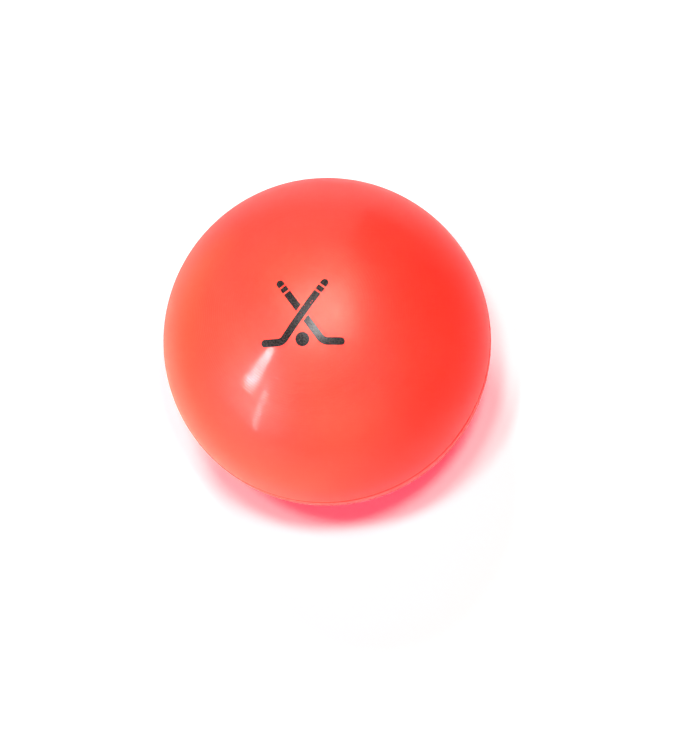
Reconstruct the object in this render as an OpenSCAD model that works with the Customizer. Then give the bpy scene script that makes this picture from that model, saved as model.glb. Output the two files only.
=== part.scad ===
// Street hockey ball: a hollow ball of two moulded half shells, spin welded at the seam,
// with a mark printed in black on its upper pole. Sizes are in millimetres.
// The origin is the centre of the ball, +Z runs through the poles and the seam lies in the XY plane.

/* [Ball] */
// Outside diameter of the ball
ball_d = 72; // [60:0.5:90]
// Wall thickness of both half shells
wall = 5; // [4.5:0.1:9]

/* [Seam] */
// Radial thickness of the tongue on the rim of the upper half
tongue_w = 1.6; // [1:0.1:2.4]
// Height of the tongue below the seam plane
tongue_h = 2.2; // [1:0.1:4]
// Thickness of the melted film that fills the joint
weld_film = 0.12; // [0.08:0.01:0.3]
// Width of the weld bead at the surface of the ball
bead_w = 1.2; // [0.6:0.1:2]
// Depth of the notch that the outer bead fills
bead_depth = 0.9; // [0.5:0.1:1.2]
// How far the trimmed outer bead lies below the surface of the ball
bead_recess = 0.12; // [0.05:0.01:0.3]
// Diameter of each of the two rolls of plastic squeezed out inside the ball
roll_d = 1.2; // [0.8:0.1:2]

/* [Printed mark] */
// Thickness of the ink
ink_t = 0.04; // [0.03:0.01:0.1]
// Width of the printed line
line_w = 1.6; // [1:0.1:2.2]
// Length of each shaft above the crossing
shaft_top = 9; // [6:0.5:11]
// Length of each shaft below the crossing
shaft_bottom = 6.5; // [5:0.5:9]
// Lean of each stick from upright, in degrees
stick_lean = 36; // [30:1:45]
// Radius of the bend at the heel, along the middle of the line
heel_r = 2; // [1.5:0.1:3]
// Straight length of the blade past the heel
blade_len = 3.6; // [2:0.1:5]
// Bare gap on each side where one stick passes under the other
under_gap = 0.5; // [0.3:0.1:1]
// Width of each bare gap between the turns of grip tape
tape_gap = 0.4; // [0.2:0.1:0.8]
// Spacing of the gaps in the grip tape
tape_pitch = 1.5; // [1:0.1:2]
// Number of gaps in the grip tape
tape_gaps = 2; // [1:1:3]
// Diameter of the printed ball
spot_d = 3; // [2:0.1:4]
// Distance of the printed ball below the crossing
spot_drop = 5.6; // [4.5:0.1:7]
// Offset of the crossing from the pole, along X
mark_x = -1.2; // [-4:0.1:4]
// Offset of the crossing from the pole, along Y
mark_y = -1.8; // [-4:0.1:4]

/* [Hidden] */
$fn = 180;
outer_r = ball_d / 2;
inner_r = outer_r - wall;
tongue_r = (outer_r + inner_r) / 2;
seam_z = weld_film / 2;
heel_turn = 90 - stick_lean;
shell_colour = "#ff5547";
weld_colour = "#ff8070";
ink_colour = "#2b1c1e";

// Section of the whole hollow wall, on the +X side of the axis
module wall_section() {
    difference() {
        circle(r = outer_r);
        circle(r = inner_r);
        translate([-ball_d, -ball_d])
            square([ball_d, 2 * ball_d]);
    }
}

// The part of a section above the given height
module above(height) {
    intersection() {
        children();
        translate([0, height])
            square([ball_d, ball_d]);
    }
}

// The part of a section below the given height
module below(height) {
    intersection() {
        children();
        translate([0, height - ball_d])
            square([ball_d, ball_d]);
    }
}

// Section of the V notch round the outside of the seam, open past the surface
module notch_section() {
    root_x = outer_r - bead_depth;
    polygon([
        [root_x, -seam_z],
        [outer_r, -bead_w / 2],
        [ball_d, -bead_w / 2],
        [ball_d, bead_w / 2],
        [outer_r, bead_w / 2],
        [root_x, seam_z]
    ]);
}

// Section of the tongue, grown all round by the clearance; it runs up into the upper half
module tongue_section(clearance) {
    half_w = tongue_w / 2 + clearance;
    bottom = tongue_h + clearance;
    translate([tongue_r - half_w, -bottom])
        square([2 * half_w, bottom + tongue_w]);
}

module upper_section() {
    above(seam_z)
        difference() {
            wall_section();
            notch_section();
        }
    tongue_section(0);
}

module lower_section() {
    below(-seam_z)
        difference() {
            wall_section();
            notch_section();
            tongue_section(weld_film);
        }
}

// The room left between the halves, up to the trimmed surface of the outer bead
module joint_section() {
    intersection() {
        circle(r = outer_r - bead_recess);
        union() {
            notch_section();
            below(0)
                tongue_section(weld_film);
            translate([inner_r, -seam_z])
                square([wall, weld_film]);
        }
    }
}

// The two rolls of plastic that the weld squeezes out into the hollow, side by side along the seam
module roll_sections() {
    for (side = [-1, 1])
        translate([inner_r, side * roll_d * 3 / 8])
            circle(d = roll_d);
}

module weld_section() {
    difference() {
        union() {
            joint_section();
            roll_sections();
        }
        upper_section();
        lower_section();
    }
}

module upper_half_shell() {
    color(shell_colour)
        rotate_extrude()
            upper_section();
}

module lower_half_shell() {
    color(shell_colour)
        rotate_extrude()
            lower_section();
}

module weld_ring() {
    color(weld_colour)
        rotate_extrude()
            weld_section();
}

// A straight stretch of the printed line, from the origin along +Y, with a round far end
module bar(length) {
    translate([-line_w / 2, 0])
        square([line_w, length]);
    translate([0, length])
        circle(d = line_w);
}

// The bend of the printed line at the heel, from the end of the shaft towards -X
module heel() {
    reach = 2 * (heel_r + line_w);
    intersection() {
        difference() {
            circle(r = heel_r + line_w / 2);
            circle(r = heel_r - line_w / 2);
        }
        polygon([[0, 0], [reach, 0], [reach, -reach * tan(heel_turn)]]);
    }
}

// One stick, with its shaft along Y and the crossing at the origin
module stick() {
    difference() {
        translate([0, -shaft_bottom])
            bar(shaft_bottom + shaft_top - line_w / 2);
        for (gap = [1 : tape_gaps])
            translate([-line_w, shaft_top - gap * tape_pitch - tape_gap])
                square([2 * line_w, tape_gap]);
    }
    translate([-heel_r, -shaft_bottom]) {
        heel();
        rotate(-heel_turn)
            translate([heel_r, 0])
                rotate(180)
                    bar(blade_len - line_w / 2);
    }
}

// The strip that one stick keeps clear of the other
module clear_strip() {
    strip_w = line_w + 2 * under_gap;
    translate([-strip_w / 2, -shaft_bottom])
        square([strip_w, shaft_bottom + shaft_top]);
}

// Two crossed sticks with a ball between their blades
module mark_outline() {
    rotate(-stick_lean)
        stick();
    difference() {
        mirror([1, 0])
            rotate(-stick_lean)
                stick();
        rotate(-stick_lean)
            clear_strip();
    }
    translate([0, -spot_drop])
        circle(d = spot_d);
}

module printed_mark() {
    color(ink_colour)
        intersection() {
            difference() {
                sphere(r = outer_r + ink_t);
                sphere(r = outer_r);
            }
            linear_extrude(ball_d)
                translate([mark_x, mark_y])
                    mark_outline();
        }
}

upper_half_shell();
lower_half_shell();
weld_ring();
printed_mark();
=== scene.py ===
# %% [markdown]
# # A street hockey ball
# The real ball is two moulded half shells of orange-red plastic, spin welded at the equator. The
# mould was turned on a lathe, so fine rings run round both poles, and a black mark is printed
# over the upper one. This lesson dresses the plain solids of that ball with their real finish.
# The frame gives every piece its place and size, so nothing here is moved or scaled.

# %% Load the frame
import math
import bmesh
import bpy
from mathutils import Matrix, Vector


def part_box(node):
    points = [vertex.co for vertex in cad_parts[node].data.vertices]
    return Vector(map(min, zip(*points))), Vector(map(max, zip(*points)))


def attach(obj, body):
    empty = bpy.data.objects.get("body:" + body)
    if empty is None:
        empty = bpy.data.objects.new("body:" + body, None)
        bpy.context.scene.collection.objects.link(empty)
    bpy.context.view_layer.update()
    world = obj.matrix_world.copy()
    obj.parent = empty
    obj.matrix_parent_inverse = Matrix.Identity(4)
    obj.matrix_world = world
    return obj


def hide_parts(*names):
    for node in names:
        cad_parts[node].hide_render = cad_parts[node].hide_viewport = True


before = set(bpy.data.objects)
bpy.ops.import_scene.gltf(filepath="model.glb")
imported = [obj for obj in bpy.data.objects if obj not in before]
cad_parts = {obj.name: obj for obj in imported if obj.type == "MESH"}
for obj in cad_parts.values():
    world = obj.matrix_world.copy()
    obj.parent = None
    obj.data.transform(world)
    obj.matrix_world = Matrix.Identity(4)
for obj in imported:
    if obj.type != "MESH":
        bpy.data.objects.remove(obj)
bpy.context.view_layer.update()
scene = bpy.context.scene
scene.view_settings.view_transform = "Standard"
MM = 0.001
BALL_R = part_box("upper_half_shell")[1].z
print("ball radius in mm:", round(BALL_R / MM, 3), "nodes:", sorted(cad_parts))

# %% [markdown]
# ## The camera
# The rings and the seam show how the photograph looks at the ball: the upper pole is 14.5 degrees
# away from the line of sight. A short lens close by would give the same size, but it would also
# show less of the ball's sides, so a long lens stands far away. The camera is turned, not shifted,
# until the ball sits where it sits in the picture, so that other views stay centred.

# %% Place the camera
IMAGE_W = 681
IMAGE_H = 750
BALL_CENTRE_PX = (327.2, 341.7)
BALL_RADIUS_PX = 163.9
CAMERA_AZIMUTH = math.radians(27)
CAMERA_ELEVATION = math.radians(75.5)
CAMERA_DISTANCE = 1.2
NEAREST_SEEN = 0.01
SENSOR_SIDE = 36
PRINT_UP = Vector((0, 1, 0))


def direction(azimuth, elevation):
    """The unit vector from the ball towards a place seen at that azimuth and elevation."""
    flat = math.cos(elevation)
    return Vector((math.sin(azimuth) * flat, -math.cos(azimuth) * flat, math.sin(elevation)))


def facing(back, up):
    """A rotation whose -Z looks against back, with up as near to +Y as it can be."""
    side = up.cross(back).normalized()
    return Matrix((side, back.cross(side), back)).transposed()


camera_data = bpy.data.cameras.new("camera")
camera = bpy.data.objects.new("camera", camera_data)
scene.collection.objects.link(camera)
scene.camera = camera
camera_back = direction(CAMERA_AZIMUTH, CAMERA_ELEVATION)
focal_px = BALL_RADIUS_PX / math.tan(math.asin(BALL_R / CAMERA_DISTANCE))
camera_data.sensor_width = SENSOR_SIDE
camera_data.lens = focal_px * SENSOR_SIDE / IMAGE_H
view_axes = facing(camera_back, PRINT_UP)
metre_per_px = CAMERA_DISTANCE / focal_px
aim = view_axes @ Vector((IMAGE_W / 2 - BALL_CENTRE_PX[0], BALL_CENTRE_PX[1] - IMAGE_H / 2, 0))
camera.location = camera_back * CAMERA_DISTANCE
camera_look = (camera.location - aim * metre_per_px).normalized()
camera.rotation_mode = "QUATERNION"
camera.rotation_quaternion = facing(camera_look, PRINT_UP).to_quaternion()
camera_data.clip_start = NEAREST_SEEN
print("lens in mm:", round(camera_data.lens, 1))

# %% [markdown]
# ## Building node trees in code
# Both geometry and materials are node trees. They could be written node by node, but then the
# wiring hides the idea. A few small helpers keep each tree readable: one adds a node, one joins a
# socket or sets its value, one starts a group with named sockets, and the others write one step of
# arithmetic as one line.

# %% Node helpers


def add(tree, kind, **settings):
    """Adds one node and sets its options."""
    node = tree.nodes.new(kind)
    for name, value in settings.items():
        setattr(node, name, value)
    return node


def put(tree, value, socket):
    """Links a socket to another one, or sets its own value."""
    if isinstance(value, bpy.types.NodeSocket):
        tree.links.new(value, socket)
    else:
        socket.default_value = value


def new_group(name, kind, inputs, outputs):
    """An empty node group with named sockets, and its input and output nodes."""
    tree = bpy.data.node_groups.new(name, kind)
    for side, sockets in (("INPUT", inputs), ("OUTPUT", outputs)):
        for label, socket_kind in sockets:
            tree.interface.new_socket(label, in_out=side, socket_type="NodeSocket" + socket_kind)
    return tree, add(tree, "NodeGroupInput").outputs, add(tree, "NodeGroupOutput").inputs


print("node helpers ready")

# %% Arithmetic helpers


def calc(tree, operation, *values):
    """One step of arithmetic on numbers."""
    node = add(tree, "ShaderNodeMath", operation=operation)
    for value, socket in zip(values, node.inputs):
        put(tree, value, socket)
    return node.outputs[0]


def vector_calc(tree, operation, *values, out="Vector"):
    """One step of arithmetic on vectors."""
    node = add(tree, "ShaderNodeVectorMath", operation=operation)
    for value, socket in zip(values, node.inputs):
        put(tree, value, socket)
    return node.outputs[out]


def scaled(tree, vector, factor):
    """A vector times a number."""
    node = add(tree, "ShaderNodeVectorMath", operation="SCALE")
    put(tree, vector, node.inputs[0])
    put(tree, factor, node.inputs["Scale"])
    return node.outputs[0]


def parts(tree, vector):
    """The X, Y and Z of a vector."""
    node = add(tree, "ShaderNodeSeparateXYZ")
    put(tree, vector, node.inputs[0])
    return node.outputs


def ramp(tree, value, low, high, start=0.0, end=1.0):
    """Maps low..high to start..end, smoothly and without overshoot."""
    node = add(tree, "ShaderNodeMapRange", interpolation_type="SMOOTHSTEP")
    for entry, name in ((value, "Value"), (low, "From Min"), (high, "From Max"),
                        (start, "To Min"), (end, "To Max")):
        put(tree, entry, node.inputs[name])
    return node.outputs["Result"]


def noise(tree, place, size, detail=2.0, roughness=0.5, layer=0.0):
    """Cloudy noise from 0 to 1, with patches of a size; another layer gives other patches."""
    node = add(tree, "ShaderNodeTexNoise", noise_dimensions="4D")
    for entry, name in ((scaled(tree, place, 1 / size), "Vector"), (layer, "W"), (1.0, "Scale"),
                        (detail, "Detail"), (roughness, "Roughness")):
        put(tree, entry, node.inputs[name])
    return node.outputs[0]


print("arithmetic helpers ready")

# %% [markdown]
# ## The turned skin as a material effect
# Close up the plastic is not smooth. The tool marks of the turned mould lie round the pole as fine
# rings, partly worn away into broken arcs, and use has smudged the skin. A painted picture could
# show that, but it would blur close up. Both the plastic and the ink carry the marks, so they are
# one node group. It measures the distance from the pole along the skin and uses it as the layer
# of a cloudy noise, which gives arcs round the pole. It also gives a cloudy smudge mask, and a
# polish mask that is full round the pole, where the skin shines most, and lower in the grooves.

# %% Group: turning marks
LINE_PITCH = 0.3 * MM
ARC_SIZE = 3 * MM
SMUDGE_SIZE = 22 * MM
CLOUD_SPAN = (0.3, 0.7)
POLISH_FADE = (math.radians(32), math.radians(60))
GROOVE_POLISH = 0.3


def pole_angle(tree, place):
    """The angle between a place on the ball and the nearer pole, as seen from the centre."""
    outward = parts(tree, vector_calc(tree, "NORMALIZE", place))
    return calc(tree, "ARCCOSINE", calc(tree, "ABSOLUTE", outward["Z"]))


def turning_marks_group():
    """Outputs the height of the fine rings, a smudge mask and a polish mask, all from 0 to 1."""
    tree, given, result = new_group(
        "turning_marks", "ShaderNodeTree",
        [("Place", "Vector"), ("Pitch", "Float"), ("Far Strength", "Float")],
        [("Rings", "Float"), ("Smudge", "Float"), ("Polish", "Float")])
    angle = pole_angle(tree, given["Place"])
    along = calc(tree, "DIVIDE", calc(tree, "MULTIPLY", angle, BALL_R), given["Pitch"])
    arcs = noise(tree, given["Place"], ARC_SIZE, detail=1.0, layer=along)
    lines = ramp(tree, arcs, *CLOUD_SPAN)
    near_pole = ramp(tree, angle, *POLISH_FADE, start=1.0, end=0.0)
    ridges = calc(tree, "MULTIPLY_ADD", lines, 1 - GROOVE_POLISH, GROOVE_POLISH)
    put(tree, calc(tree, "MULTIPLY", ridges, near_pole), result["Polish"])
    strength = calc(tree, "MAXIMUM", near_pole, given["Far Strength"])
    put(tree, calc(tree, "MULTIPLY", lines, strength), result["Rings"])
    smudge = noise(tree, given["Place"], SMUDGE_SIZE, detail=4.0, roughness=0.6)
    put(tree, ramp(tree, smudge, *CLOUD_SPAN), result["Smudge"])
    return tree


turning_marks = turning_marks_group()
print("made the group", turning_marks.name)

# %% [markdown]
# ## Placing the effect in a material
# Every material here starts alike: a Principled BSDF and Object coordinates, which stay fixed to
# the ball. Each could be wired by itself, but then a change would have to be made in all of them.
# So these helpers make the start, place the group, mix two colours and add a Bump.

# %% Material helpers


def new_material(name):
    """A material, and its tree, its shader's inputs and its Object coordinates."""
    material = bpy.data.materials.new(name)
    material.use_nodes = True
    tree = material.node_tree
    place = add(tree, "ShaderNodeTexCoord").outputs["Object"]
    return material, tree, tree.nodes["Principled BSDF"].inputs, place


def marks_in(tree, place, pitch, far_strength):
    """Places the turning marks group in a material."""
    node = add(tree, "ShaderNodeGroup", node_tree=turning_marks)
    put(tree, place, node.inputs["Place"])
    put(tree, pitch, node.inputs["Pitch"])
    put(tree, far_strength, node.inputs["Far Strength"])
    return node.outputs


def colour_mix(tree, factor, first, second):
    """Mixes two colours. A Mix node's colour sockets come after those for numbers and vectors."""
    node = add(tree, "ShaderNodeMix", data_type="RGBA")
    put(tree, factor, node.inputs["Factor"])
    put(tree, first, node.inputs[6])
    put(tree, second, node.inputs[7])
    return node.outputs[2]


def bump(tree, height, depth, shader):
    """Raises a surface by a height pattern, to a depth in metres."""
    node = add(tree, "ShaderNodeBump")
    put(tree, depth, node.inputs["Distance"])
    put(tree, height, node.inputs["Height"])
    put(tree, node.outputs["Normal"], shader["Normal"])


print("material helpers ready")

# %% [markdown]
# ## The plastic
# The shell is plasticised PVC in a day-glow orange-red: saturated, a little translucent, and satin
# where the mould left its rings. A plain red would look like paint. Subsurface light, longer in
# red than in green and blue, gives the even glow of the wall. A weak, even red emission is a
# painted glow: it keeps the red full on the shaded side, and stands in for the dye turning other
# colours of light into red. The rings feed the roughness and a Bump, because their finest lines
# are a few thousandths of a millimetre deep, and the coarser ones are cut into the mesh further on.
# A coat gives the polish, most of all round the pole.

# %% Material: day-glow plastic
PLASTIC_COLOUR = (1.0, 0.021, 0.012, 1)
PLASTIC_PALE = (1.0, 0.03, 0.018, 1)
# The weld's darker red is painted shade: it draws the seam notch as a dark line.
WELD_PAINTED_SHADE = (0.6, 0.012, 0.008, 1)
WELD_PAINTED_SHADE_PALE = (0.7, 0.02, 0.012, 1)
SHELL_FAR_RINGS = 0.12
WELD_FAR_RINGS = 0.4
SATIN_ROUGH = 0.48
MARK_ROUGH = 0.04
RING_BUMP = 0.006 * MM
SATIN_GLOSS = 0.35
PLASTIC_IOR = 1.5
COAT = 0.08
SMUDGE_COAT = 0.06
POLISH = 0.8
COAT_ROUGH = 0.14
GLOW_SHARE = 0.8
GLOW_SPREAD = (1.0, 0.22, 0.18)
GLOW_DEPTH = 4.5 * MM
# Painted glow: an even red emission that keeps the shaded side full red.
PAINTED_GLOW_COLOUR = (1.0, 0.01, 0.0, 1)
PAINTED_GLOW = 0.25


def plastic(name, colour, pale, far_rings):
    """Translucent day-glow plastic with its turning marks, and a painted red glow."""
    material, tree, shader, place = new_material(name)
    marks = marks_in(tree, place, LINE_PITCH, far_rings)
    put(tree, colour_mix(tree, marks["Smudge"], colour, pale), shader["Base Color"])
    satin = calc(tree, "MULTIPLY_ADD", marks["Smudge"], MARK_ROUGH, SATIN_ROUGH)
    put(tree, calc(tree, "MULTIPLY_ADD", marks["Rings"], MARK_ROUGH, satin), shader["Roughness"])
    bump(tree, marks["Rings"], RING_BUMP, shader)
    shader["IOR"].default_value = PLASTIC_IOR
    shader["Specular IOR Level"].default_value = SATIN_GLOSS
    polished = calc(tree, "MULTIPLY_ADD", marks["Polish"], POLISH, COAT)
    coat = calc(tree, "MULTIPLY_ADD", marks["Smudge"], SMUDGE_COAT, polished)
    put(tree, coat, shader["Coat Weight"])
    shader["Coat Roughness"].default_value = COAT_ROUGH
    shader["Coat IOR"].default_value = PLASTIC_IOR
    shader["Subsurface Weight"].default_value = GLOW_SHARE
    shader["Subsurface Radius"].default_value = GLOW_SPREAD
    shader["Subsurface Scale"].default_value = GLOW_DEPTH
    # Painted glow, not a lamp: an even red emission over the whole skin.
    shader["Emission Color"].default_value = PAINTED_GLOW_COLOUR
    shader["Emission Strength"].default_value = PAINTED_GLOW
    return material


shell_plastic = plastic("shell_plastic", PLASTIC_COLOUR, PLASTIC_PALE, SHELL_FAR_RINGS)
weld_painted_shade_plastic = plastic("weld_painted_shade_plastic", WELD_PAINTED_SHADE, WELD_PAINTED_SHADE_PALE, WELD_FAR_RINGS)
print("made", shell_plastic.name, "and", weld_painted_shade_plastic.name)

# %% [markdown]
# ## The ink
# The mark is pad printed: a thin black film, glossier than the plastic. A flat black would look
# cut out, so a fine grain makes it uneven in colour and height, tiny pinholes let the plastic's
# colour show, and the turning marks below it change its gloss.

# %% Material: printing ink
INK_COLOUR = (0.008, 0.006, 0.008, 1)
INK_THIN = (0.035, 0.022, 0.024, 1)
GRAIN_SIZE = 0.35 * MM
GRAIN_SPAN = (0.4, 0.65)
INK_GRAIN = 0.015 * MM
PINHOLE_SIZE = 0.55 * MM
PINHOLE_SPAN = (0.70, 0.76)
INK_FAR_RINGS = 0.2
INK_ROUGH = 0.16
INK_RING_ROUGH = 0.06
INK_GLOSS = 0.3


def printing_ink():
    """Black ink with thin places and pinholes."""
    material, tree, shader, place = new_material("printing_ink")
    marks = marks_in(tree, place, LINE_PITCH, INK_FAR_RINGS)
    grain = noise(tree, place, GRAIN_SIZE, detail=1.0)
    uneven = colour_mix(tree, ramp(tree, grain, *GRAIN_SPAN), INK_COLOUR, INK_THIN)
    specks = noise(tree, place, PINHOLE_SIZE, detail=2.0, roughness=0.6)
    pinhole = ramp(tree, specks, *PINHOLE_SPAN)
    put(tree, colour_mix(tree, pinhole, uneven, PLASTIC_COLOUR), shader["Base Color"])
    rough = calc(tree, "MULTIPLY_ADD", marks["Rings"], INK_RING_ROUGH, INK_ROUGH)
    put(tree, rough, shader["Roughness"])
    bump(tree, grain, INK_GRAIN, shader)
    shader["Specular IOR Level"].default_value = INK_GLOSS
    return material


ink = printing_ink()
print("made", ink.name)

# %% [markdown]
# ## The coarse rings
# Besides the fine lines, the round tool left a coarser thread of shallow cuts in the mould. The ball
# has their cast: low, round ridges with sharp valleys between them, which break a streak of light
# into dashes. A Bump could shade them, but the mesh itself would stay smooth, so they are part of
# the shape. This tree says how far each place lies below the skin. The ridges wander a little and
# are worn in places. They grow away from the pole, fade out further down, and are kept best on one
# side, where the streak of light shows them.

# %% Tree: turned rings
RING_PITCH = 0.6 * MM
RING_DEPTH = 0.045 * MM
RING_WANDER = 0.7
WANDER_SIZE = 6 * MM
WORN_SPAN = (0.34, 0.6)
WORN_LEAST = 0.6
RING_RISE = (math.radians(6), math.radians(26))
RING_START = 0.15
RING_FADE = (math.radians(40), math.radians(52))
KEPT_SIDE = (-0.6, -0.8, 0.0)
KEPT_REACH = (-0.1 * BALL_R, 0.35 * BALL_R)
WORN_DEPTH = 0.35


def turned_rings_tree():
    """Gives how far the coarse turning marks lie below the skin at a place on the ball."""
    tree, given, result = new_group(
        "turned_rings", "GeometryNodeTree",
        [("Place", "Vector"), ("Pitch", "Float"), ("Depth", "Float")],
        [("Offset", "Vector")])
    angle = pole_angle(tree, given["Place"])
    along = calc(tree, "DIVIDE", calc(tree, "MULTIPLY", angle, BALL_R), given["Pitch"])
    cloud = noise(tree, given["Place"], WANDER_SIZE, detail=1.0)
    turns = calc(tree, "MULTIPLY_ADD", cloud, RING_WANDER, along)
    # From -1 to 1 over each ridge: the square is 0 on its top and 1 in the valleys beside it.
    across = calc(tree, "MULTIPLY_ADD", calc(tree, "FRACT", turns), 2.0, -1.0)
    valley = calc(tree, "MULTIPLY", across, across)
    arcs = noise(tree, given["Place"], ARC_SIZE, detail=1.0, layer=along)
    worn = ramp(tree, arcs, *WORN_SPAN, start=WORN_LEAST, end=1.0)
    rise = ramp(tree, angle, *RING_RISE, start=RING_START, end=1.0)
    fade = calc(tree, "MULTIPLY", rise, ramp(tree, angle, *RING_FADE, start=1.0, end=0.0))
    towards_kept = vector_calc(tree, "DOT_PRODUCT", given["Place"], KEPT_SIDE, out="Value")
    kept = ramp(tree, towards_kept, *KEPT_REACH, start=WORN_DEPTH, end=1.0)
    depth = calc(tree, "MULTIPLY", calc(tree, "MULTIPLY", worn, fade), kept)
    cut = calc(tree, "MULTIPLY", valley, depth)
    inward = calc(tree, "MULTIPLY", calc(tree, "MULTIPLY", cut, given["Depth"]), -1.0)
    outward = vector_calc(tree, "NORMALIZE", given["Place"])
    put(tree, scaled(tree, outward, inward), result["Offset"])
    return tree


def rings_in(tree, place, pitch, depth):
    """Places the turned rings in another tree."""
    node = add(tree, "GeometryNodeGroup", node_tree=turned_rings)
    put(tree, place, node.inputs["Place"])
    put(tree, pitch, node.inputs["Pitch"])
    put(tree, depth, node.inputs["Depth"])
    return node.outputs["Offset"]


turned_rings = turned_rings_tree()
print("made the tree", turned_rings.name)

# %% [markdown]
# ## A lathe in Geometry Nodes
# Every plastic piece of this ball is a body of revolution. A Screw modifier could turn one, but it
# can't cut the rings, so one tree does both. The object's own mesh is only a line of points: the
# section, with x as the radius and z as the height. The tree makes a grid with one row for each
# point and one column for each step of the turn, wraps it round the axis, and closes it where the
# columns and the poles meet. Then it cuts the coarse rings into the outer skin.

# %% Geometry helpers


def joined(tree, x, y, z):
    """A vector from its X, Y and Z."""
    node = add(tree, "ShaderNodeCombineXYZ")
    for value, socket in zip((x, y, z), node.inputs):
        put(tree, value, socket)
    return node.outputs[0]


def position(tree):
    """The place of each point of the geometry on which the value is used."""
    return add(tree, "GeometryNodeInputPosition").outputs[0]


def moved(tree, geometry, **inputs):
    """Moves the points of a geometry; the inputs are Position, Offset and Selection."""
    node = add(tree, "GeometryNodeSetPosition")
    put(tree, geometry, node.inputs["Geometry"])
    for name, value in inputs.items():
        put(tree, value, node.inputs[name])
    return node.outputs[0]


def finished(tree, geometry, material, result):
    """Shades a geometry smooth, makes it real, gives it its material and hands it out."""
    smooth = add(tree, "GeometryNodeSetShadeSmooth")
    put(tree, geometry, smooth.inputs["Geometry"])
    real = add(tree, "GeometryNodeRealizeInstances")
    put(tree, smooth.outputs[0], real.inputs["Geometry"])
    coated = add(tree, "GeometryNodeSetMaterial")
    put(tree, real.outputs[0], coated.inputs["Geometry"])
    put(tree, material, coated.inputs["Material"])
    put(tree, coated.outputs[0], result)


print("geometry helpers ready")

# %% Tree: lathe
HALF_GRID = 0.5
SKIN_MARGIN = 0.06 * MM
MERGE_DISTANCE = 0.002 * MM


def section_point(tree, section, row):
    """The radius, as X, and the height, as Z, of one point of the section."""
    pick = add(tree, "GeometryNodeSampleIndex", data_type="FLOAT_VECTOR", domain="POINT")
    put(tree, section, pick.inputs["Geometry"])
    put(tree, position(tree), pick.inputs["Value"])
    put(tree, row, pick.inputs["Index"])
    return parts(tree, pick.outputs["Value"])


def lathe_tree():
    """Turns a section line into a closed body, with turning marks on its outer skin."""
    tree, given, result = new_group(
        "lathe", "GeometryNodeTree",
        [("Section", "Geometry"), ("Steps Round", "Int"), ("Ring Pitch", "Float"),
         ("Ring Depth", "Float"), ("Material", "Material")],
        [("Body", "Geometry")])
    size = add(tree, "GeometryNodeAttributeDomainSize", component="MESH")
    put(tree, given["Section"], size.inputs["Geometry"])
    count = size.outputs["Point Count"]
    grid = add(tree, "GeometryNodeMeshGrid")
    for label, value in (("Size X", 2 * HALF_GRID), ("Size Y", 2 * HALF_GRID),
                         ("Vertices X", count),
                         ("Vertices Y", calc(tree, "ADD", given["Steps Round"], 1))):
        put(tree, value, grid.inputs[label])
    cell = parts(tree, position(tree))
    share = calc(tree, "ADD", cell["X"], HALF_GRID)
    row = calc(tree, "ROUND", calc(tree, "MULTIPLY", share, calc(tree, "SUBTRACT", count, 1)))
    turn = calc(tree, "MULTIPLY", calc(tree, "ADD", cell["Y"], HALF_GRID), math.tau)
    point = section_point(tree, given["Section"], row)
    x = calc(tree, "MULTIPLY", point["X"], calc(tree, "COSINE", turn))
    y = calc(tree, "MULTIPLY", point["X"], calc(tree, "SINE", turn))
    wrapped = moved(tree, grid.outputs["Mesh"], Position=joined(tree, x, y, point["Z"]))
    closed = add(tree, "GeometryNodeMergeByDistance")
    put(tree, wrapped, closed.inputs["Geometry"])
    put(tree, MERGE_DISTANCE, closed.inputs["Distance"])
    place = position(tree)
    from_centre = vector_calc(tree, "LENGTH", place, out="Value")
    on_skin = calc(tree, "GREATER_THAN", from_centre, BALL_R - SKIN_MARGIN)
    rings = rings_in(tree, place, given["Ring Pitch"], given["Ring Depth"])
    marked = moved(tree, closed.outputs[0], Selection=on_skin, Offset=rings)
    finished(tree, marked, given["Material"], result["Body"])
    return tree


lathe = lathe_tree()
print("lathe tree:", len(lathe.nodes), "nodes")

# %% [markdown]
# ## From a tree to a finished piece
# A modifier is only a recipe. The frame needs plain meshes, so the tree is run once, its result is
# kept as the piece's own mesh, and the modifier goes. Then the solid it stands for is hidden. The
# volume that is printed tells whether the faces point outwards, and the open edges whether the
# skin is closed.

# %% Running a tree and keeping its result


def keep_evaluated(piece):
    """Replaces a piece's mesh with its evaluated one, and removes its modifiers."""
    graph = bpy.context.evaluated_depsgraph_get()
    mesh = bpy.data.meshes.new_from_object(piece.evaluated_get(graph), depsgraph=graph)
    piece.modifiers.clear()
    piece.data = mesh
    mesh.name = piece.name


def run_tree(piece, tree, values):
    """Runs a geometry tree on a piece, then keeps the result as a plain mesh."""
    modifier = piece.modifiers.new(tree.name, "NODES")
    modifier.node_group = tree
    for socket in tree.interface.items_tree:
        if socket.name in values:
            modifier[socket.identifier] = values[socket.name]
    keep_evaluated(piece)


print("trees are run once, then kept as meshes")

# %% Turning, checking and dressing a piece
STEPS_ROUND = 180
SHARP_EDGE = math.radians(38)


def report_mesh(piece):
    """Prints a piece's triangle count and volume: a volume above zero has its faces outwards."""
    check = bmesh.new()
    check.from_mesh(piece.data)
    open_edges = sum(not edge.is_manifold for edge in check.edges)
    volume = check.calc_volume(signed=True) / MM ** 3
    triangles = len(check.calc_loop_triangles())
    check.free()
    print(piece.name, triangles, "triangles,", round(volume, 2), "mm3, open edges:", open_edges)


def dress(piece, node):
    """Hangs a piece on the root body and hides the solid it stands for."""
    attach(piece, "root")
    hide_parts(node)


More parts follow.
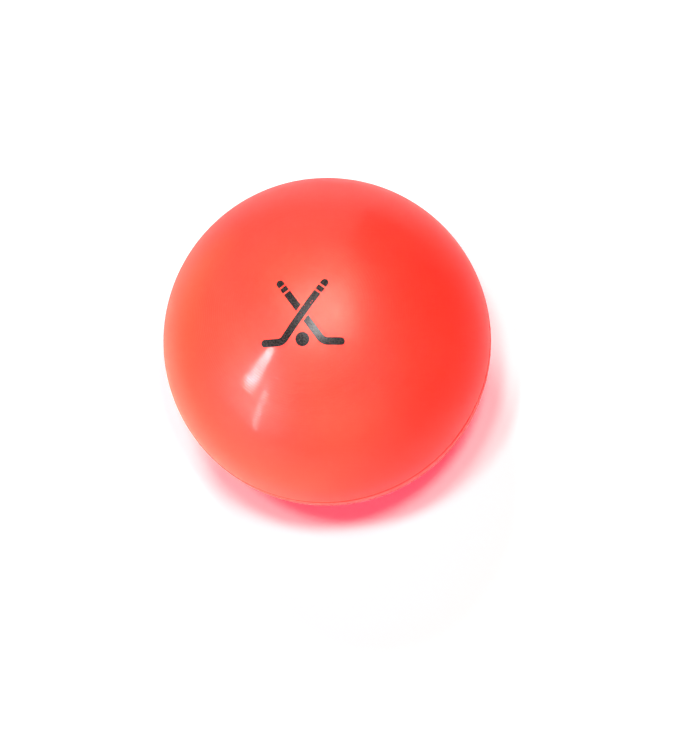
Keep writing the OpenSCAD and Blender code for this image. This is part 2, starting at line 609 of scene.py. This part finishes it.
def turned_piece(name, section, material, node):
    """Turns a section into a finished piece."""
    mesh = bpy.data.meshes.new(name + "_section")
    points = [(radius, 0, height) for radius, height in section]
    mesh.from_pydata(points, [(i, i + 1) for i in range(len(points) - 1)], [])
    piece = bpy.data.objects.new(name, mesh)
    scene.collection.objects.link(piece)
    run_tree(piece, lathe, {"Steps Round": STEPS_ROUND, "Ring Pitch": RING_PITCH,
                            "Ring Depth": RING_DEPTH, "Material": material})
    piece.data.set_sharp_from_angle(angle=SHARP_EDGE)
    report_mesh(piece)
    dress(piece, node)
    return piece


print("steps round the axis:", STEPS_ROUND)

# %% [markdown]
# ## The half shells
# Each half is a bowl with a 5 mm wall. The rim of the upper one carries a tongue that sits in a
# groove of the lower one, and both rims are cut back to a V notch outside, which the weld fills.
# The solids could be smoothed instead, but a section line gives an even skin. The lines below
# follow those sizes. Rows lie close together where the coarse rings are, and further apart
# elsewhere, because only the rings need them.

# %% Section helpers
WALL = 5 * MM
inner_r = BALL_R - WALL


def on_arc(radius, angle):
    """A point of a section at an angle from the pole."""
    return radius * math.sin(angle), radius * math.cos(angle)


def angle_at(radius, height):
    """The angle from the pole at which an arc reaches a height."""
    return math.acos(height / radius)


def rounded(start, corner, end, steps=5):
    """A small round between two stretches of a section, through a soft corner."""
    blend = [i / steps for i in range(steps + 1)]
    return [tuple((1 - t) ** 2 * a + 2 * t * (1 - t) * b + t * t * c
                  for a, b, c in zip(start, corner, end)) for t in blend]


def towards(start, end, length):
    """The point that lies a length from start on the way to end."""
    share = length / math.dist(start, end)
    return tuple(a + (b - a) * share for a, b in zip(start, end))


def flipped(points):
    """A section turned upside down; reversing it keeps its faces outwards."""
    return [(radius, -height) for radius, height in reversed(points)]


print("inner radius in mm:", round(inner_r / MM, 2))

# %% Section of the half shells
TONGUE_W = 1.6 * MM
TONGUE_H = -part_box("upper_half_shell")[0].z
WELD_FILM = 0.12 * MM
BEAD_W = 1.2 * MM
BEAD_DEPTH = 0.9 * MM
LIP = 0.22 * MM
ROWS_PER_RING = 7
COARSE_STEP = math.radians(1.2)
INNER_STEP = math.radians(3)
tongue_r = BALL_R - WALL / 2
seam_z = WELD_FILM / 2


def outer_arc():
    """The outer skin from the pole to the lip of the notch."""
    lip_angle = angle_at(BALL_R, BEAD_W / 2 + LIP)
    fine = RING_PITCH / ROWS_PER_RING / BALL_R
    rows = round(RING_FADE[1] / fine)
    angles = [fine * i for i in range(rows)]
    rest = round((lip_angle - fine * rows) / COARSE_STEP)
    angles += [fine * rows + (lip_angle - fine * rows) * i / rest for i in range(rest + 1)]
    return [on_arc(BALL_R, angle) for angle in angles]


def rim(height, half_w, depth):
    """The rim from the lip inwards, with a tongue or a groove whose floor lies at a depth."""
    root = (BALL_R - BEAD_DEPTH, height)
    corner = on_arc(BALL_R, angle_at(BALL_R, BEAD_W / 2))
    lip = on_arc(BALL_R, angle_at(BALL_R, BEAD_W / 2 + LIP))
    points = rounded(lip, corner, towards(corner, root, LIP))[1:]
    outside = tongue_r + half_w
    inside = tongue_r - half_w
    return points + [root, (outside, height), (outside, depth), (inside, depth), (inside, height)]


def inner_arc(height):
    """The inner skin from the rim to the pole."""
    start = angle_at(inner_r, height)
    steps = round(start / INNER_STEP)
    return [on_arc(inner_r, start * (steps - i) / steps) for i in range(steps + 1)]


groove_w = TONGUE_W / 2 + WELD_FILM
groove_h = TONGUE_H + WELD_FILM
upper_section = outer_arc() + rim(seam_z, TONGUE_W / 2, -TONGUE_H) + inner_arc(seam_z)
lower_section = flipped(outer_arc() + rim(seam_z, groove_w, groove_h) + inner_arc(seam_z))
print("rows in the sections:", len(upper_section), len(lower_section))

# %% Turn the half shells
upper_shell = turned_piece("turned_upper_half", upper_section, shell_plastic,
                           "upper_half_shell")
lower_shell = turned_piece("turned_lower_half", lower_section, shell_plastic,
                           "lower_half_shell")

# %% [markdown]
# ## The weld
# Spinning one half against the other melts their rims. What is squeezed out leaves a bead in the
# outer notch, trimmed just below the skin, and two soft rolls inside, and a thin film stays round
# the tongue. It could be left out, since only the bead shows, but then the seam would be an empty
# notch. Its section is one closed loop, so the same lathe turns it.

# %% Section of the weld
BEAD_RECESS = BALL_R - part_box("weld_ring")[1].x
BEAD_CROWN = 0.05 * MM
BEAD_FILL = 0.86
CROWN_STEPS = 4
ROLL_R = 0.6 * MM
ROLL_RISE = ROLL_R * 3 / 4
ROLL_STEPS = 12


def inner_rolls():
    """The two rolls from top to bottom, with a valley between them at the height of the seam."""
    valley = math.pi + math.asin(ROLL_RISE / ROLL_R)
    turns = [math.pi / 2 + (valley - math.pi / 2) * k / ROLL_STEPS for k in range(ROLL_STEPS + 1)]
    upper = [(inner_r + ROLL_R * math.cos(t), ROLL_RISE + ROLL_R * math.sin(t)) for t in turns]
    return upper + flipped(upper[:-1])


def weld_section():
    """The weld's closed loop: the bead, the tongue's side, the inner rolls and the groove's side."""
    half = BEAD_W / 2 * BEAD_FILL
    face = BALL_R - BEAD_RECESS
    steps = [k / CROWN_STEPS for k in range(-CROWN_STEPS, CROWN_STEPS + 1)]
    crown = [(face - BEAD_CROWN * step ** 2, half * step) for step in steps]
    root = BALL_R - BEAD_DEPTH
    outside = tongue_r + TONGUE_W / 2
    inside = tongue_r - TONGUE_W / 2
    above = [(root, seam_z), (outside, seam_z), (outside, -TONGUE_H),
             (inside, -TONGUE_H), (inside, seam_z)]
    rolls = [(inner_r, seam_z)] + inner_rolls() + [(inner_r, -seam_z)]
    below = [(inside - WELD_FILM, -seam_z), (inside - WELD_FILM, -groove_h),
             (outside + WELD_FILM, -groove_h), (outside + WELD_FILM, -seam_z), (root, -seam_z)]
    loop = crown + above + rolls + below
    # Run the other way round, the loop turns its faces outwards.
    loop.reverse()
    return loop + loop[:1]


# Its plastic is a darker red, painted shade that marks the seam as a dark line.
weld = turned_piece("turned_weld", weld_section(), weld_painted_shade_plastic, "weld_ring")

# %% [markdown]
# ## The printed mark
# The mark is two crossed sticks with a ball between their blades. It could be a picture on the
# skin, but the real ink has a thickness and an edge, so it is a thin piece of its own. Each stick
# is a ribbon along a centre line: a straight shaft, a bend and a straight blade. It is drawn flat
# with many small faces, cut where the tape and the crossing leave bare gaps, then laid on the
# ball and thickened.

# %% Centre line of a stick
LINE_W = 1.6 * MM
SHAFT_TOP = 9 * MM
SHAFT_BOTTOM = 6.5 * MM
STICK_LEAN = math.radians(36)
HEEL_R = 2 * MM
BLADE_LEN = 3.6 * MM
heel_turn = math.pi / 2 - STICK_LEAN
shaft_len = SHAFT_TOP + SHAFT_BOTTOM
heel_len = HEEL_R * heel_turn
stick_len = shaft_len + heel_len + BLADE_LEN


def centre_line(distance):
    """The point at a distance from the top of an upright stick, and the line's direction there."""
    turned = min(max(distance - shaft_len, 0) / HEEL_R, heel_turn)
    heading = Vector((-math.sin(turned), -math.cos(turned)))
    if distance <= shaft_len:
        return Vector((0, SHAFT_TOP - distance)), heading
    bend = Vector((HEEL_R * math.cos(turned) - HEEL_R, -SHAFT_BOTTOM - HEEL_R * math.sin(turned)))
    return bend + heading * max(distance - shaft_len - heel_len, 0), heading


def half_width(distance):
    """Half the width of the ribbon, rounded off at both ends."""
    radius = LINE_W / 2
    from_end = min(distance, stick_len - distance, radius)
    return math.sqrt(max(radius ** 2 - (radius - from_end) ** 2, 0))


print("stick length in mm:", round(stick_len / MM, 2))

# %% A stick as a flat ribbon
PRINT_STEP = 0.12 * MM
FACES_ACROSS = 12
TAPE_GAP = 0.4 * MM
TAPE_PITCH = 1.5 * MM
TAPE_GAPS = 2


def ribbon(flat, start, end):
    """Adds one stretch of an upright stick to a flat mesh."""
    steps = max(round((end - start) / PRINT_STEP), 2)
    rows = []
    for i in range(steps + 1):
        distance = start + (end - start) * i / steps
        middle, heading = centre_line(distance)
        side = Vector((-heading.y, heading.x)) * half_width(distance)
        spread = [middle + side * (2 * k / FACES_ACROSS - 1) for k in range(FACES_ACROSS + 1)]
        rows.append([flat.verts.new((point.x, point.y, 0)) for point in spread])
    for first, second in zip(rows, rows[1:]):
        for k in range(FACES_ACROSS):
            flat.faces.new((first[k], first[k + 1], second[k + 1], second[k]))


def stick(mirrored):
    """One leaning stick as a flat mesh, with bare gaps in its grip tape."""
    flat = bmesh.new()
    starts = [0] + [(i + 1) * TAPE_PITCH + TAPE_GAP for i in range(TAPE_GAPS)]
    ends = [(i + 1) * TAPE_PITCH for i in range(TAPE_GAPS)] + [stick_len]
    for start, end in zip(starts, ends):
        ribbon(flat, start, end)
    bmesh.ops.rotate(flat, verts=flat.verts, matrix=Matrix.Rotation(-STICK_LEAN, 3, "Z"))
    if mirrored:
        bmesh.ops.scale(flat, verts=flat.verts, vec=(-1, 1, 1))
        bmesh.ops.reverse_faces(flat, faces=flat.faces)
    return flat


over_stick = stick(False)
under_stick = stick(True)
print("faces of a stick:", len(over_stick.faces))

# %% Clear the crossing and add the ball
UNDER_GAP = 0.5 * MM
SPOT_D = 3 * MM
SPOT_DROP = 5.6 * MM
SPOT_SIDES = 40


def clear_crossing(flat):
    """Removes a strip of the lower stick where the upper one passes over it."""
    across = Vector((math.cos(STICK_LEAN), -math.sin(STICK_LEAN), 0))
    reach = LINE_W / 2 + UNDER_GAP
    for side in (-1, 1):
        everything = flat.verts[:] + flat.edges[:] + flat.faces[:]
        bmesh.ops.bisect_plane(flat, geom=everything, plane_co=across * reach * side, plane_no=across)
    strip = [face for face in flat.faces
             if abs(face.calc_center_median().dot(across)) < reach
             and face.calc_center_median().length < SHAFT_BOTTOM]
    bmesh.ops.delete(flat, geom=strip, context="FACES")


def spot(flat):
    """Adds the printed ball as a disc of rings."""
    rings = round(SPOT_D / 2 / PRINT_STEP)
    middle = Vector((0, -SPOT_DROP, 0))
    old = [flat.verts.new(middle)] * SPOT_SIDES
    for i in range(1, rings + 1):
        radius = SPOT_D / 2 * i / rings
        new = [flat.verts.new(middle + Vector((math.cos(t), math.sin(t), 0)) * radius)
               for t in (math.tau * k / SPOT_SIDES for k in range(SPOT_SIDES))]
        for k in range(SPOT_SIDES):
            after = (k + 1) % SPOT_SIDES
            flat.faces.new(dict.fromkeys((old[k], new[k], new[after], old[after])))
        old = new


clear_crossing(under_stick)
spot(over_stick)
print("faces with the ball:", len(over_stick.faces), "and of the cut stick:", len(under_stick.faces))

# %% Join the drawing
MARK_PLACE = Vector((-1.2 * MM, -1.8 * MM))
mark_mesh = bpy.data.meshes.new("printed_sticks_flat")
under_stick.to_mesh(mark_mesh)
over_stick.from_mesh(mark_mesh)
bmesh.ops.remove_doubles(over_stick, verts=over_stick.verts, dist=MERGE_DISTANCE)
for face in over_stick.faces:
    face.normal_update()
    if face.normal.z < 0:
        face.normal_flip()
bmesh.ops.translate(over_stick, verts=over_stick.verts, vec=MARK_PLACE.to_3d())
over_stick.to_mesh(mark_mesh)
under_stick.free()
over_stick.free()
print("flat mark:", len(mark_mesh.polygons), "faces")

# %% Lay the mark on the ball
INK_TOP = 0.035 * MM
INK_THICK = 0.1 * MM
INK_RINGS = 0.012 * MM


def print_tree():
    """Lifts a flat drawing straight up onto a ball, and gives it its material."""
    tree, given, result = new_group(
        "print_on_ball", "GeometryNodeTree",
        [("Drawing", "Geometry"), ("Radius", "Float"), ("Ring Pitch", "Float"),
         ("Ring Depth", "Float"), ("Material", "Material")],
        [("Print", "Geometry")])
    flat = parts(tree, position(tree))
    left = calc(tree, "MULTIPLY", given["Radius"], given["Radius"])
    for axis in "XY":
        left = calc(tree, "SUBTRACT", left, calc(tree, "MULTIPLY", flat[axis], flat[axis]))
    raised = joined(tree, flat["X"], flat["Y"], calc(tree, "SQRT", left))
    laid = moved(tree, given["Drawing"], Position=raised)
    rings = rings_in(tree, position(tree), given["Ring Pitch"], given["Ring Depth"])
    finished(tree, moved(tree, laid, Offset=rings), given["Material"], result["Print"])
    return tree


printed_sticks = bpy.data.objects.new("printed_sticks", mark_mesh)
scene.collection.objects.link(printed_sticks)
run_tree(printed_sticks, print_tree(), {"Radius": BALL_R + INK_TOP, "Ring Pitch": RING_PITCH,
                                        "Ring Depth": INK_RINGS, "Material": ink})
film = printed_sticks.modifiers.new("film", "SOLIDIFY")
film.thickness = INK_THICK
film.offset = -1
keep_evaluated(printed_sticks)
printed_sticks.data.set_sharp_from_angle(angle=SHARP_EDGE)
report_mesh(printed_sticks)
dress(printed_sticks, "printed_mark")

# %% [markdown]
# ## The table
# The ball lies on a white table that keeps its shadow. Plain white would do for the camera, but the
# skin is glossy, and what it mirrors of the table colours its rims. More light would bleach the
# whole ball, so the material asks Light Path who is looking instead. The camera sees white, which
# shines by itself far away. Mirror rays see painted light and shade on the table, each patch with
# the way it lies from the ball, where it starts and is full, and what it adds: brighter towards the
# left and the front, darker towards the right and far to the left. All other rays see a light grey,
# so the light on the ball stays plain.

# %% Table
TABLE_SIDE = 12
TABLE_COLOUR = (0.9, 0.9, 0.9, 1)
TABLE_SEEN = (1.1, 1.16, 1.1, 1)
TABLE_MIRRORED = (1.0, 1.0, 1.0)
# Painted light and shade, seen only in reflections: the way from the ball, where it starts and is
# full, and what it adds.
TABLE_PAINTED_LIGHT_AND_SHADE = (
    ((-0.85, -0.53, 0.0), (0.01, 0.08), (1.05, 1.05, 0.3)),
    ((-0.97, 0.25, 0.0), (0.09, 0.17), (-0.6, -0.6, -0.65)),
    ((-0.35, -0.94, 0.0), (0.09, 0.2), (1.4, 1.4, 1.3)),
    ((1.0, 0.0, 0.0), (0.03, 0.12), (-0.75, -0.75, -0.75)))
PAINTED_LIGHT_FADE = (0.35, 0.8)
FAR_TABLE = (0.2, 0.7)
FAR_COLOUR = (1, 1, 1, 1)
TABLE_ROUGH = 0.9


def seen_directly(tree):
    """1 for rays from the camera, and for reflections and glass, otherwise 0."""
    path = add(tree, "ShaderNodeLightPath").outputs
    mirror = calc(tree, "MAXIMUM", path["Is Glossy Ray"], path["Is Transmission Ray"])
    return calc(tree, "MAXIMUM", path["Is Camera Ray"], mirror)


def table_material():
    """White for the camera, painted light and shade for mirror rays, and a plain light grey for all
    others.
    """
    material, tree, shader, place = new_material("white_table")
    away = vector_calc(tree, "LENGTH", place, out="Value")
    near = ramp(tree, away, *PAINTED_LIGHT_FADE, start=1.0, end=0.0)
    mirrored = TABLE_MIRRORED
    for way, reach, painted_shading in TABLE_PAINTED_LIGHT_AND_SHADE:
        distance = vector_calc(tree, "DOT_PRODUCT", place, way, out="Value")
        share = calc(tree, "MULTIPLY", ramp(tree, distance, *reach), near)
        mirrored = vector_calc(tree, "ADD", mirrored, scaled(tree, painted_shading, share))
    path = add(tree, "ShaderNodeLightPath").outputs
    shown = colour_mix(tree, path["Is Glossy Ray"], TABLE_SEEN, mirrored)
    colour = colour_mix(tree, seen_directly(tree), TABLE_COLOUR, shown)
    put(tree, colour, shader["Base Color"])
    far_white = calc(tree, "MULTIPLY", path["Is Camera Ray"], ramp(tree, away, *FAR_TABLE))
    put(tree, far_white, shader["Emission Strength"])
    shader["Emission Color"].default_value = FAR_COLOUR
    shader["Roughness"].default_value = TABLE_ROUGH
    shader["Specular IOR Level"].default_value = 0.0
    return material


table_mesh = bpy.data.meshes.new("table")
corner = TABLE_SIDE / 2
table_mesh.from_pydata([(-corner, -corner, -BALL_R), (corner, -corner, -BALL_R),
                        (corner, corner, -BALL_R), (-corner, corner, -BALL_R)], [], [(0, 1, 2, 3)])
table_mesh.materials.append(table_material())
table = bpy.data.objects.new("table", table_mesh)
scene.collection.objects.link(table)
print("table at z in mm:", round(-BALL_R / MM, 2))

# %% [markdown]
# ## The backdrop
# Beyond the table all is white as well. A strong white world would wash out the shadow, so it is
# white only for the camera, a little warm for mirror rays, and a weak cool fill for all others.

# %% World
SKY_SEEN = (1.0, 1.0, 1.0, 1)
SKY_MIRRORED = (1.0, 0.97, 0.82, 1)
FILL_COLOUR = (0.85, 0.9, 1.15, 1)
FILL_LEVEL = 0.05
world = bpy.data.worlds.new("studio")
scene.world = world
world.use_nodes = True
sky = world.node_tree
background = sky.nodes["Background"].inputs
direct = seen_directly(sky)
camera_ray = add(sky, "ShaderNodeLightPath").outputs["Is Camera Ray"]
sky_shown = colour_mix(sky, camera_ray, SKY_MIRRORED, SKY_SEEN)
put(sky, colour_mix(sky, direct, FILL_COLOUR, sky_shown), background["Color"])
put(sky, calc(sky, "MAXIMUM", direct, FILL_LEVEL), background["Strength"])
print("fill level:", FILL_LEVEL)

# %% [markdown]
# ## The lamps
# A lamp's level says how bright a white card that faces it would be, so levels can be compared
# whatever the lamp's size. Four small overhead lamps light everything and throw the soft shadows;
# their levels add up to a little over 1. A skin that mirrored those would show four hard dots, so
# the gloss has soft lamps of its own, which fade out like light behind cloth and leave the
# shadows and the plain colours alone.

# %% A lamp by its level
LAMP_DISTANCE = 1.1
LAMP_MIDDLE = (0.5, 0.5, 0.0)
LAMP_EDGE = 0.5
SOFT_MEAN = 0.3
WHITE = (1, 1, 1)


def soften(data):
    """Lets a lamp fade from its middle to its edge, as a light behind cloth does."""
    data.use_nodes = True
    tree = data.node_tree
    place = add(tree, "ShaderNodeNewGeometry").outputs["Parametric"]
    offset = vector_calc(tree, "DISTANCE", place, LAMP_MIDDLE, out="Value")
    strength = ramp(tree, offset, 0.0, LAMP_EDGE, start=1 / SOFT_MEAN, end=0.0)
    put(tree, strength, tree.nodes["Emission"].inputs["Strength"])


def lamp(name, towards_lamp, width, level, colour=WHITE, height=None, along=PRINT_UP):
    """A flat lamp that faces the ball. With a height it is a soft ellipse along a direction."""
    data = bpy.data.lights.new(name, "AREA")
    data.shape = "DISK" if height is None else "ELLIPSE"
    data.size = width
    if height is not None:
        data.size_y = height
        soften(data)
    data.energy = level * math.pi ** 2 * LAMP_DISTANCE ** 2
    data.color = colour
    lamp_object = bpy.data.objects.new(name, data)
    scene.collection.objects.link(lamp_object)
    back = Vector(towards_lamp).normalized()
    lamp_object.location = back * LAMP_DISTANCE
    lamp_object.rotation_euler = facing(back, Vector(along)).to_euler()
    lamp_object.visible_camera = False
    return lamp_object


def light_only(lamps, name, pieces):
    """Lets some lamps light some pieces alone, by a collection of receivers."""
    receivers = bpy.data.collections.new(name)
    for piece in pieces:
        receivers.objects.link(piece)
    for item in lamps:
        item.light_linking.receiver_collection = receivers


print("lamps stand off by m:", LAMP_DISTANCE)

# %% Overhead lamps
overhead_lamps = [
    lamp("overhead_right", (0.17, -0.067, 1.0), 0.113, 0.33),
    lamp("overhead_left", (-0.109, -0.086, 1.0), 0.1, 0.255),
    lamp("overhead_middle", (0.028, -0.038, 1.0), 0.1, 0.25),
    lamp("overhead_back", (-0.147, 0.682, 1.0), 0.26, 0.33)]
for item in overhead_lamps:
    item.visible_glossy = False
print("overhead lamps:", [item.name for item in overhead_lamps])

# %% [markdown]
# ## Lamps for the gloss
# The pale cap round the pole is a softbox almost right above, inside a wider one, because one lamp
# alone would end too sharply. Four weak sheets of light brighten the sides. Two narrow lamps draw
# the streaks: the rings break the first into dashes, and the second lies lower and is longer. The
# ink is far darker and glossier than the plastic, so it has two lamps of its own. None of them
# lights the plain colours.

# %% Gloss lamps
STREAK_COLOUR = (0.95, 0.95, 1.05)
STREAK_ALONG = (-0.317, -0.538, -0.818)
LOW_STREAK_ALONG = (-0.05, -0.14, -0.53)
ink_lamps = [
    lamp("ink_glint", (0.028, -0.038, 1.0), 0.4, 0.33, WHITE, 0.4),
    lamp("ink_sheen", (0.0, 0.1, 1.0), 0.9, 0.25, WHITE, 0.9)]
soft_lamps = [
    lamp("softbox", (0.04, 0.14, 0.99), 1.4, 0.56, (1, 1, 0.9), 1.4),
    lamp("wide_softbox", (0.08, 0.28, 0.96), 3.0, 1.15, (1, 1, 0.6), 3.0),
    lamp("upper_left_sheet", (-0.45, 0.62, 0.64), 1.4, 0.055, (1, 1, 0.1), 1.4),
    lamp("lower_sheet", (-0.2, -0.72, 0.67), 1.4, 0.07, (1, 1, 0.2), 1.4),
    lamp("left_sheet", (-0.8, -0.2, 0.55), 1.4, 0.07, (1, 1, 0.3), 1.4),
    lamp("right_sheet", (0.5, 0.1, 0.85), 1.4, 0.04, WHITE, 1.4)]
streak_lamps = [
    lamp("streak_lamp", (-0.64, -0.39, 0.667), 0.15, 0.52, STREAK_COLOUR, 0.3, STREAK_ALONG),
    lamp("low_streak_lamp", (-0.65, -0.74, 0.2), 0.05, 0.17, STREAK_COLOUR, 1.0,
         LOW_STREAK_ALONG)]
for item in ink_lamps + soft_lamps + streak_lamps:
    item.visible_diffuse = False
print("gloss lamps:", [item.name for item in ink_lamps + soft_lamps + streak_lamps])

# %% [markdown]
# ## Windows
# Three low windows brighten the left and the front of the ball. More overhead light would brighten
# its top as well. They light the ball alone, because on the table they would wash out its shadow.

# %% Windows, and what each lamp lights
windows = [
    lamp("left_window", (-0.93, 0.0, 0.25), 1.6, 0.07, (1, 1, 0.1), 1.6),
    lamp("corner_window", (-0.7, -0.65, 0.25), 1.4, 0.45, (1, 1, 0.95), 1.4),
    lamp("front_window", (0.12, -1.0, 0.12), 1.4, 0.34, (1, 1, 0.46), 2.4)]
light_only(windows, "lit_by_windows", (upper_shell, lower_shell, weld, printed_sticks))
light_only(ink_lamps, "inked", (printed_sticks,))
light_only(soft_lamps, "bare_plastic", (upper_shell, lower_shell, weld))
print("windows:", [item.name for item in windows])

# %% [markdown]
# ## Glow through the wall
# Light that goes into the translucent ball comes out below as red light on the table. Tracing it
# through two walls is slow and noisy. One red lamp inside the ball, which lights the table alone
# and casts no shadow, gives the same red pool. Its level is that on a card at the ball's radius.

# %% Glow
GLOW_LEVEL = 2.4
GLOW_PLACE = (-0.016, -0.01, 0.0)
GLOW_COLOUR = (1.0, 0.088, 0.218)
glow_data = bpy.data.lights.new("shell_glow", "POINT")
glow_data.color = GLOW_COLOUR
glow_data.shadow_soft_size = BALL_R / 2
glow_data.use_shadow = False
glow_data.energy = GLOW_LEVEL * 4 * math.pi ** 2 * BALL_R ** 2
glow = bpy.data.objects.new("shell_glow", glow_data)
scene.collection.objects.link(glow)
glow.location = GLOW_PLACE
light_only([glow], "lit_by_glow", [table])
print("glow energy in W:", round(glow_data.energy, 3))

# %% [markdown]
# ## Black card
# The right side of the ball is a deep, clear red, as if it mirrored something dark. A darker paint
# there would be wrong in other light. In a studio a black card is held up for that, and so it is
# here. The card is hidden from the camera, casts no shadow and thins out towards its front and its
# top, so that it leaves no edge in the skin.

# %% Card
CARD_X = 0.12
CARD_Y = (-0.2, 0.4)
CARD_Z = (-BALL_R + MM, 0.34)
CARD_FRONT_FADE = (-0.16, 0.02)
CARD_TOP_FADE = (0.08, 0.32)
CARD_COLOUR = (0.01, 0.01, 0.01, 1)


def card_material():
    """Black card that thins out towards its front and its top."""
    material, tree, shader, place = new_material("black_card")
    shader["Base Color"].default_value = CARD_COLOUR
    shader["Specular IOR Level"].default_value = 0.0
    on_card = parts(tree, place)
    front = ramp(tree, on_card["Y"], *CARD_FRONT_FADE)
    top = ramp(tree, on_card["Z"], *CARD_TOP_FADE, start=1.0, end=0.0)
    put(tree, calc(tree, "MULTIPLY", front, top), shader["Alpha"])
    return material


card_mesh = bpy.data.meshes.new("black_card")
card_mesh.from_pydata([(CARD_X, y, z) for z in CARD_Z for y in CARD_Y], [], [(0, 2, 3, 1)])
card_mesh.materials.append(card_material())
card = bpy.data.objects.new("black_card", card_mesh)
scene.collection.objects.link(card)
card.visible_camera = False
card.visible_diffuse = False
card.visible_shadow = False
print("card at x in mm:", round(CARD_X / MM))
